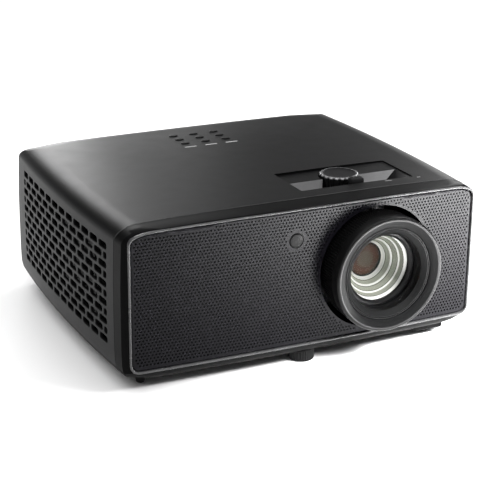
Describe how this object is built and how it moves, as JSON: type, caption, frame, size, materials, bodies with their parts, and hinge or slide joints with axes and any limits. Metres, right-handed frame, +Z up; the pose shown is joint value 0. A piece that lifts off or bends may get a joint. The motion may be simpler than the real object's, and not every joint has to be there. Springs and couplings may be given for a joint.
{
  "type": "home projector",
  "caption": "Low wide black projector case with an offset zoom lens, top keypad, recessed lens controls, vented sides and adjustable feet.",
  "frame": {"origin": "middle of the bounding box on the table plane, under the feet", "axes": "+X to the right seen from the front, lens looks along -Y, +Z up"},
  "size_m": [0.3437, 0.318, 0.1468],
  "materials": {
    "top_cover": "fine matte texture, black",
    "front_bezel": "fine matte texture, black",
    "bottom_case": "matte black",
    "front_grille": "black, fine dot pattern",
    "ir_window": "dark translucent",
    "lens_control_tray": "satin dark grey",
    "lens_shift_dial": "satin black",
    "focus_ring": "satin black",
    "zoom_ring": "satin black",
    "lens_barrel": "satin black",
    "zoom_lever": "satin grey",
    "front_lens": "coated optical glass",
    "middle_lens": "coated optical glass",
    "rear_lens": "coated optical glass",
    "front_lens_ring": "bright turned",
    "lens_carriage_plate": "sheet metal",
    "lens_guide_frame": "sheet metal",
    "wheel_bracket": "sheet metal",
    "optical_engine": "moulded housing",
    "laser_module": "dark housing",
    "imager_heat_sink": "extruded",
    "laser_heat_sink": "extruded",
    "wheel_motor": "dark metal",
    "phosphor_wheel": "yellow coated disc",
    "keypad_board": "circuit board",
    "imager_board": "circuit board",
    "power_supply": "circuit board",
    "main_board": "circuit board",
    "fan_frame_left": "black moulding",
    "fan_frame_right": "black moulding",
    "fan_rotor_left": "black moulding",
    "fan_rotor_right": "black moulding",
    "speaker": "black moulding",
    "rear_io_panel": "matte black",
    "audio_socket": "matte black",
    "power_inlet": "matte black",
    "hdmi_socket_1": "plated",
    "hdmi_socket_2": "plated",
    "usb_socket": "plated",
    "front_foot": "black rubber",
    "rear_foot_left": "black rubber",
    "rear_foot_right": "black rubber",
    "front_rest_left": "black rubber",
    "front_rest_right": "black rubber",
    "case_screw_1": "black steel",
    "case_screw_2": "black steel",
    "case_screw_3": "black steel",
    "case_screw_4": "black steel",
    "menu_key": "satin black",
    "up_key": "satin black",
    "power_key": "satin black",
    "left_key": "satin black",
    "enter_key": "satin black",
    "right_key": "satin black",
    "input_key": "satin black",
    "down_key": "satin black",
    "return_key": "satin black"
  },
  "bodies": {
    "case": {"top_cover": "top_cover", "front_bezel": "front_bezel", "bottom_case": "bottom_case", "front_grille": "front_grille", "ir_window": "ir_window", "lens_control_tray": "lens_control_tray", "lens_guide_frame": "lens_guide_frame", "wheel_bracket": "wheel_bracket", "optical_engine": "optical_engine", "laser_module": "laser_module", "imager_heat_sink": "imager_heat_sink", "laser_heat_sink": "laser_heat_sink", "wheel_motor": "wheel_motor", "keypad_board": "keypad_board", "imager_board": "imager_board", "power_supply": "power_supply", "main_board": "main_board", "fan_frame_left": "fan_frame_left", "fan_frame_right": "fan_frame_right", "speaker": "speaker", "rear_io_panel": "rear_io_panel", "audio_socket": "audio_socket", "power_inlet": "power_inlet", "hdmi_socket_1": "hdmi_socket_1", "hdmi_socket_2": "hdmi_socket_2", "usb_socket": "usb_socket", "front_rest_left": "front_rest_left", "front_rest_right": "front_rest_right", "case_screw_1": "case_screw_1", "case_screw_2": "case_screw_2", "case_screw_3": "case_screw_3", "case_screw_4": "case_screw_4"},
    "lens_unit": {"lens_barrel": "lens_barrel", "front_lens": "front_lens", "front_lens_ring": "front_lens_ring", "middle_lens": "middle_lens", "rear_lens": "rear_lens", "lens_carriage_plate": "lens_carriage_plate"},
    "focus_ring": {"focus_ring": "focus_ring"},
    "zoom": {"zoom_ring": "zoom_ring", "zoom_lever": "zoom_lever"},
    "shift_dial": {"lens_shift_dial": "lens_shift_dial"},
    "front_foot": {"front_foot": "front_foot"},
    "rear_foot_left": {"rear_foot_left": "rear_foot_left"},
    "rear_foot_right": {"rear_foot_right": "rear_foot_right"},
    "fan_rotor_left": {"fan_rotor_left": "fan_rotor_left"},
    "fan_rotor_right": {"fan_rotor_right": "fan_rotor_right"},
    "phosphor_wheel": {"phosphor_wheel": "phosphor_wheel"},
    "menu_key": {"menu_key": "menu_key"},
    "up_key": {"up_key": "up_key"},
    "power_key": {"power_key": "power_key"},
    "left_key": {"left_key": "left_key"},
    "enter_key": {"enter_key": "enter_key"},
    "right_key": {"right_key": "right_key"},
    "input_key": {"input_key": "input_key"},
    "down_key": {"down_key": "down_key"},
    "return_key": {"return_key": "return_key"}
  },
  "joints": [
    {"name": "lens_shift", "type": "slide", "parent": "case", "child": "lens_unit", "axis": [0, 0, 1], "range_m": [-0.003, 0.003]},
    {"name": "focus_turn", "type": "hinge", "parent": "lens_unit", "child": "focus_ring", "pos_m": [0.0644, -0.14375, 0.0796], "axis": [0, 1, 0], "range_deg": [-60, 60]},
    {"name": "zoom_turn", "type": "hinge", "parent": "lens_unit", "child": "zoom", "pos_m": [0.0644, -0.08825, 0.0796], "axis": [0, 1, 0], "range_deg": [-18, 15]},
    {"name": "dial_turn", "type": "hinge", "parent": "case", "child": "shift_dial", "pos_m": [0.0644, -0.06475, 0.137], "axis": [0, 0, 1], "range_deg": [-152, 152]},
    {"name": "menu_press", "type": "slide", "parent": "case", "child": "menu_key", "axis": [0, 0, -1], "range_m": [0, 0.0006], "stiffness_N_per_m": 900, "springref_m": -0.0003},
    {"name": "up_press", "type": "slide", "parent": "case", "child": "up_key", "axis": [0, 0, -1], "range_m": [0, 0.0006], "stiffness_N_per_m": 900, "springref_m": -0.0003},
    {"name": "power_press", "type": "slide", "parent": "case", "child": "power_key", "axis": [0, 0, -1], "range_m": [0, 0.0006], "stiffness_N_per_m": 900, "springref_m": -0.0003},
    {"name": "left_press", "type": "slide", "parent": "case", "child": "left_key", "axis": [0, 0, -1], "range_m": [0, 0.0006], "stiffness_N_per_m": 900, "springref_m": -0.0003},
    {"name": "enter_press", "type": "slide", "parent": "case", "child": "enter_key", "axis": [0, 0, -1], "range_m": [0, 0.0006], "stiffness_N_per_m": 900, "springref_m": -0.0003},
    {"name": "right_press", "type": "slide", "parent": "case", "child": "right_key", "axis": [0, 0, -1], "range_m": [0, 0.0006], "stiffness_N_per_m": 900, "springref_m": -0.0003},
    {"name": "input_press", "type": "slide", "parent": "case", "child": "input_key", "axis": [0, 0, -1], "range_m": [0, 0.0006], "stiffness_N_per_m": 900, "springref_m": -0.0003},
    {"name": "down_press", "type": "slide", "parent": "case", "child": "down_key", "axis": [0, 0, -1], "range_m": [0, 0.0006], "stiffness_N_per_m": 900, "springref_m": -0.0003},
    {"name": "return_press", "type": "slide", "parent": "case", "child": "return_key", "axis": [0, 0, -1], "range_m": [0, 0.0006], "stiffness_N_per_m": 900, "springref_m": -0.0003},
    {"name": "front_foot_height", "type": "slide", "parent": "case", "child": "front_foot", "axis": [0, 0, -1], "range_m": [-0.0009, 0.012]},
    {"name": "rear_foot_left_height", "type": "slide", "parent": "case", "child": "rear_foot_left", "axis": [0, 0, -1], "range_m": [-0.0009, 0.012]},
    {"name": "rear_foot_right_height", "type": "slide", "parent": "case", "child": "rear_foot_right", "axis": [0, 0, -1], "range_m": [-0.0009, 0.012]},
    {"name": "fan_spin_left", "type": "hinge", "parent": "case", "child": "fan_rotor_left", "pos_m": [-0.1481, -0.00875, 0.068], "axis": [1, 0, 0], "continuous": true},
    {"name": "fan_spin_right", "type": "hinge", "parent": "case", "child": "fan_rotor_right", "pos_m": [0.1481, 0.06225, 0.068], "axis": [1, 0, 0], "continuous": true},
    {"name": "phosphor_wheel_spin", "type": "hinge", "parent": "case", "child": "phosphor_wheel", "pos_m": [-0.008, -0.01475, 0.07], "axis": [0, 1, 0], "continuous": true}
  ],
  "couplings": [
    {"joint": "dial_turn", "follows": "lens_shift", "rad_per_m": 872.66}
  ]
}
